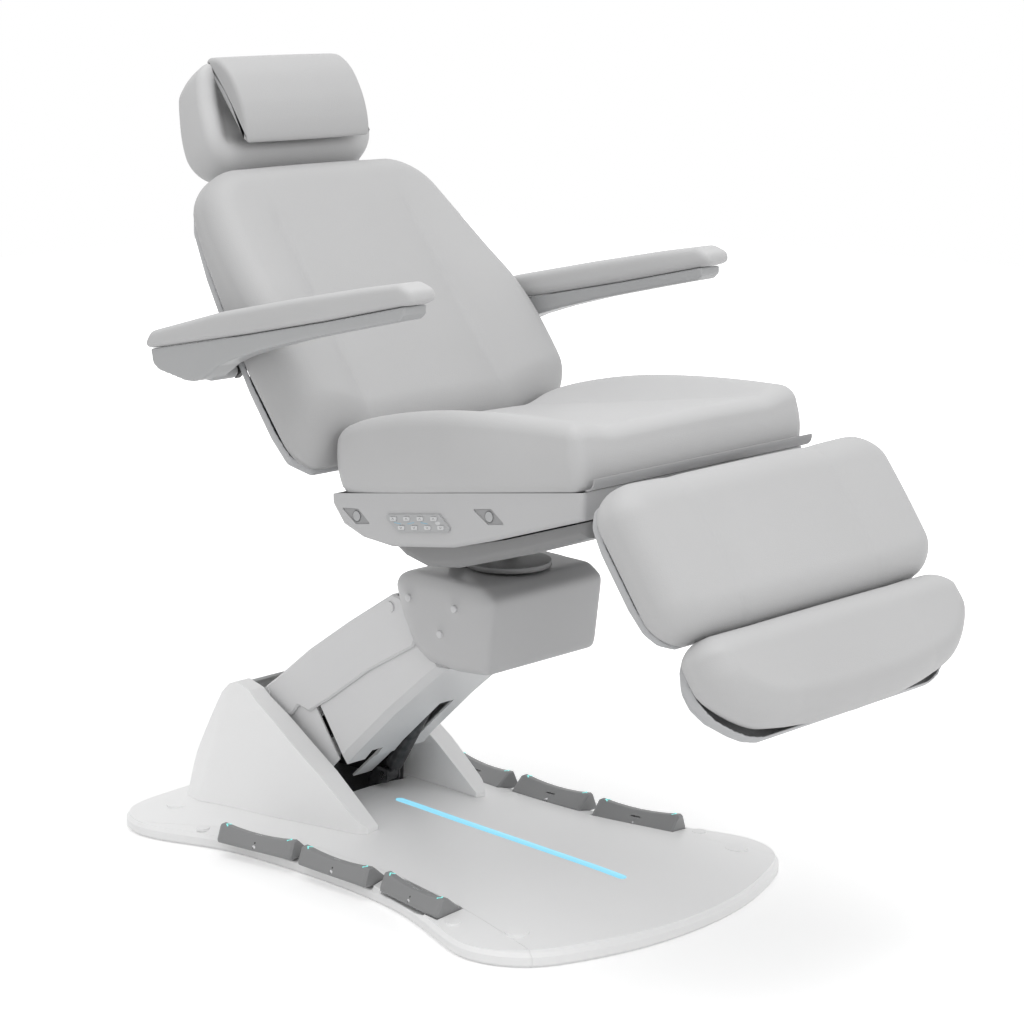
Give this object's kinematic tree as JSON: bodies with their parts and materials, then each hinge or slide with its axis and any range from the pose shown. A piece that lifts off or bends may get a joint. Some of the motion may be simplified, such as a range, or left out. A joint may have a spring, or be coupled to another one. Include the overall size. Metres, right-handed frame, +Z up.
{
  "type": "podiatry chair",
  "caption": "Powered podiatry chair: cushioned seat, reclining back, head rest, folding arms and split leg rest on a parallel lifting arm over a waisted floor base.",
  "frame": {"origin": "middle of the floor base, on the floor", "axes": "+Z up, -Y the way the sitter faces, +X the sitter's left"},
  "size_m": [0.842, 1.6174, 1.521],
  "materials": {
    "upholstery_seat": "smooth pale grey upholstery, satin",
    "upholstery_back": "smooth pale grey upholstery, satin",
    "upholstery_leg": "smooth pale grey upholstery, satin",
    "white_shell": "white moulded plastic, satin gloss",
    "grey_shell": "pale cool grey moulded plastic",
    "pale_cap": "pale grey plastic caps",
    "black_frame": "black powder coat",
    "steel_plate": "dark grey paint",
    "bright_steel": "bright steel",
    "pedal_grey": "dark grey moulded plastic",
    "panel_grey": "grey membrane panel",
    "key_grey": "pale keys",
    "light_strip": "cyan light diffuser",
    "electronics": "black plastic housing",
    "strip_rubber": "pale flexible strip"
  },
  "bodies": {
    "base": {"base_shell": "white_shell", "pedal_decks": "white_shell", "base_plate": "steel_plate", "tower_cover": "white_shell", "tower_frame": "black_frame", "base_pins": "bright_steel", "light_strip": "light_strip", "power_unit": "electronics"},
    "upper_link": {"upper_link_bars": "black_frame", "upper_arm_cover": "white_shell"},
    "lower_link": {"lower_link_bars": "black_frame", "lower_arm_cover": "white_shell"},
    "lift_tube": {"lift_actuator_body": "black_frame"},
    "lift_rod": {"lift_actuator_rod": "bright_steel"},
    "arm_head": {"head_cover": "white_shell", "head_frame": "black_frame"},
    "swivel_table": {"turntable": "black_frame"},
    "seat": {"seat_frame": "black_frame", "seat_cover": "white_shell", "under_pan": "white_shell", "seat_cushion": "upholstery_seat", "control_panel": "panel_grey", "seat_flap": "strip_rubber", "back_drive_body": "black_frame", "leg_drive_body": "black_frame", "tilt_drive_body": "black_frame"},
    "tilt_rod": {"tilt_drive_rod": "bright_steel"},
    "back_rod": {"back_drive_rod": "bright_steel"},
    "leg_rod": {"leg_drive_rod": "bright_steel"},
    "back": {"back_frame": "black_frame", "back_cushion": "upholstery_back", "back_shell": "grey_shell"},
    "headrest_slide": {"headrest_bar": "bright_steel"},
    "headrest": {"headrest_cushion": "upholstery_back", "headrest_shell": "grey_shell", "head_pillow": "upholstery_leg"},
    "arm_left": {"arm_pad_left": "upholstery_back", "arm_shell_left": "grey_shell"},
    "arm_right": {"arm_pad_right": "upholstery_back", "arm_shell_right": "grey_shell"},
    "leg_rest": {"leg_frame": "black_frame", "leg_cushion": "upholstery_leg", "leg_shell": "grey_shell"},
    "foot_rest": {"foot_rails": "bright_steel", "foot_cushion": "upholstery_leg", "foot_shell": "grey_shell"},
    "pedal_left_rear_rocker": {"pedal_left_rear": "pedal_grey"},
    "pedal_left_middle_rocker": {"pedal_left_middle": "pedal_grey"},
    "pedal_left_front_rocker": {"pedal_left_front": "pedal_grey"},
    "pedal_right_rear_rocker": {"pedal_right_rear": "pedal_grey"},
    "pedal_right_middle_rocker": {"pedal_right_middle": "pedal_grey"},
    "pedal_right_front_rocker": {"pedal_right_front": "pedal_grey"},
    "key_1_up_cap": {"key_1_up": "key_grey"},
    "key_1_down_cap": {"key_1_down": "key_grey"},
    "key_2_up_cap": {"key_2_up": "key_grey"},
    "key_2_down_cap": {"key_2_down": "key_grey"},
    "key_3_up_cap": {"key_3_up": "key_grey"},
    "key_3_down_cap": {"key_3_down": "key_grey"},
    "key_4_up_cap": {"key_4_up": "key_grey"},
    "key_4_down_cap": {"key_4_down": "key_grey"}
  },
  "joints": [
    {"name": "arm_lift", "type": "hinge", "parent": "base", "child": "upper_link", "pos_m": [0, 0.347, 0.266], "axis": [-1, 0, 0], "range_deg": [-36, 6]},
    {"name": "lower_link_turn", "type": "hinge", "parent": "base", "child": "lower_link", "pos_m": [0, 0.265, 0.211], "axis": [-1, 0, 0], "range_deg": [-36, 6]},
    {"name": "lift_tube_turn", "type": "hinge", "parent": "base", "child": "lift_tube", "pos_m": [0.043, 0.222, 0.098], "axis": [-1, 0, 0], "range_deg": [-34.2, 5.8]},
    {"name": "lift_extend", "type": "slide", "parent": "lift_tube", "child": "lift_rod", "axis": [0, -0.5453, 0.8382], "range_m": [-0.1285, 0.0215]},
    {"name": "head_level", "type": "hinge", "parent": "upper_link", "child": "arm_head", "pos_m": [0, -0.046, 0.541], "axis": [-1, 0, 0], "range_deg": [-6, 36]},
    {"name": "chair_swivel", "type": "hinge", "parent": "arm_head", "child": "swivel_table", "pos_m": [0, -0.15, 0.5945], "axis": [0, 0, 1], "range_deg": [-90, 90]},
    {"name": "seat_tilt", "type": "hinge", "parent": "swivel_table", "child": "seat", "pos_m": [0, -0.08, 0.622], "axis": [-1, 0, 0], "range_deg": [-8.1, 12]},
    {"name": "tilt_rod_extend", "type": "slide", "parent": "seat", "child": "tilt_rod", "axis": [0, -1, 0], "range_m": [-0.0088, 0.013]},
    {"name": "back_recline", "type": "hinge", "parent": "seat", "child": "back", "pos_m": [0, 0.04, 0.79], "axis": [1, 0, 0], "range_deg": [-55, 0]},
    {"name": "back_rod_extend", "type": "slide", "parent": "seat", "child": "back_rod", "axis": [0, 1, 0], "range_m": [-0.064, 0]},
    {"name": "leg_rest_turn", "type": "hinge", "parent": "seat", "child": "leg_rest", "pos_m": [0, -0.668, 0.795], "axis": [1, 0, 0], "range_deg": [-50, 20]},
    {"name": "leg_rod_extend", "type": "slide", "parent": "seat", "child": "leg_rod", "axis": [0, 1, 0], "range_m": [-0.05, 0.02]},
    {"name": "headrest_height", "type": "slide", "parent": "back", "child": "headrest_slide", "axis": [0, 0.6115, 0.7912], "range_m": [0, 0.08]},
    {"name": "headrest_tilt", "type": "hinge", "parent": "headrest_slide", "child": "headrest", "pos_m": [0, 0.47617, 1.31812], "axis": [1, 0, 0], "range_deg": [-15, 10]},
    {"name": "arm_left_fold", "type": "hinge", "parent": "back", "child": "arm_left", "pos_m": [0.345, 0.235, 0.957], "axis": [-1, 0, 0], "range_deg": [0, 90]},
    {"name": "arm_right_fold", "type": "hinge", "parent": "back", "child": "arm_right", "pos_m": [-0.345, 0.235, 0.957], "axis": [-1, 0, 0], "range_deg": [0, 90]},
    {"name": "foot_rest_slide", "type": "slide", "parent": "leg_rest", "child": "foot_rest", "axis": [0, -0.5807, -0.8141], "range_m": [0, 0.12]},
    {"name": "pedal_left_rear_rock", "type": "hinge", "parent": "base", "child": "pedal_left_rear_rocker", "pos_m": [0.3, 0.215, 0.037], "axis": [0.989, -0.1478, 0], "range_deg": [-3, 3], "stiffness_Nm_per_rad": 8},
    {"name": "pedal_left_middle_rock", "type": "hinge", "parent": "base", "child": "pedal_left_middle_rocker", "pos_m": [0.292, 0.002, 0.037], "axis": [1, 0, 0], "range_deg": [-3, 3], "stiffness_Nm_per_rad": 8},
    {"name": "pedal_left_front_rock", "type": "hinge", "parent": "base", "child": "pedal_left_front_rocker", "pos_m": [0.3, -0.216, 0.037], "axis": [0.9863, 0.165, 0], "range_deg": [-3, 3], "stiffness_Nm_per_rad": 8},
    {"name": "pedal_right_rear_rock", "type": "hinge", "parent": "base", "child": "pedal_right_rear_rocker", "pos_m": [-0.3, 0.215, 0.037], "axis": [0.989, 0.1478, 0], "range_deg": [-3, 3], "stiffness_Nm_per_rad": 8},
    {"name": "pedal_right_middle_rock", "type": "hinge", "parent": "base", "child": "pedal_right_middle_rocker", "pos_m": [-0.292, 0.002, 0.037], "axis": [1, 0, 0], "range_deg": [-3, 3], "stiffness_Nm_per_rad": 8},
    {"name": "pedal_right_front_rock", "type": "hinge", "parent": "base", "child": "pedal_right_front_rocker", "pos_m": [-0.3, -0.216, 0.037], "axis": [0.9863, -0.165, 0], "range_deg": [-3, 3], "stiffness_Nm_per_rad": 8},
    {"name": "key_1_up_press", "type": "slide", "parent": "seat", "child": "key_1_up_cap", "axis": [1, 0, 0], "range_m": [0, 0.0008], "stiffness_N_per_m": 600, "springref_m": -0.0003},
    {"name": "key_1_down_press", "type": "slide", "parent": "seat", "child": "key_1_down_cap", "axis": [1, 0, 0], "range_m": [0, 0.0008], "stiffness_N_per_m": 600, "springref_m": -0.0003},
    {"name": "key_2_up_press", "type": "slide", "parent": "seat", "child": "key_2_up_cap", "axis": [1, 0, 0], "range_m": [0, 0.0008], "stiffness_N_per_m": 600, "springref_m": -0.0003},
    {"name": "key_2_down_press", "type": "slide", "parent": "seat", "child": "key_2_down_cap", "axis": [1, 0, 0], "range_m": [0, 0.0008], "stiffness_N_per_m": 600, "springref_m": -0.0003},
    {"name": "key_3_up_press", "type": "slide", "parent": "seat", "child": "key_3_up_cap", "axis": [1, 0, 0], "range_m": [0, 0.0008], "stiffness_N_per_m": 600, "springref_m": -0.0003},
    {"name": "key_3_down_press", "type": "slide", "parent": "seat", "child": "key_3_down_cap", "axis": [1, 0, 0], "range_m": [0, 0.0008], "stiffness_N_per_m": 600, "springref_m": -0.0003},
    {"name": "key_4_up_press", "type": "slide", "parent": "seat", "child": "key_4_up_cap", "axis": [1, 0, 0], "range_m": [0, 0.0008], "stiffness_N_per_m": 600, "springref_m": -0.0003},
    {"name": "key_4_down_press", "type": "slide", "parent": "seat", "child": "key_4_down_cap", "axis": [1, 0, 0], "range_m": [0, 0.0008], "stiffness_N_per_m": 600, "springref_m": -0.0003}
  ],
  "couplings": [
    {"joint": "lower_link_turn", "follows": "arm_lift", "ratio": 1},
    {"joint": "lift_tube_turn", "follows": "arm_lift", "ratio": 0.946},
    {"joint": "lift_extend", "follows": "arm_lift", "m_per_rad": 0.204},
    {"joint": "head_level", "follows": "arm_lift", "ratio": -1},
    {"joint": "tilt_rod_extend", "follows": "seat_tilt", "m_per_rad": 0.0605},
    {"joint": "back_rod_extend", "follows": "back_recline", "m_per_rad": 0.066},
    {"joint": "leg_rod_extend", "follows": "leg_rest_turn", "m_per_rad": 0.057}
  ]
}
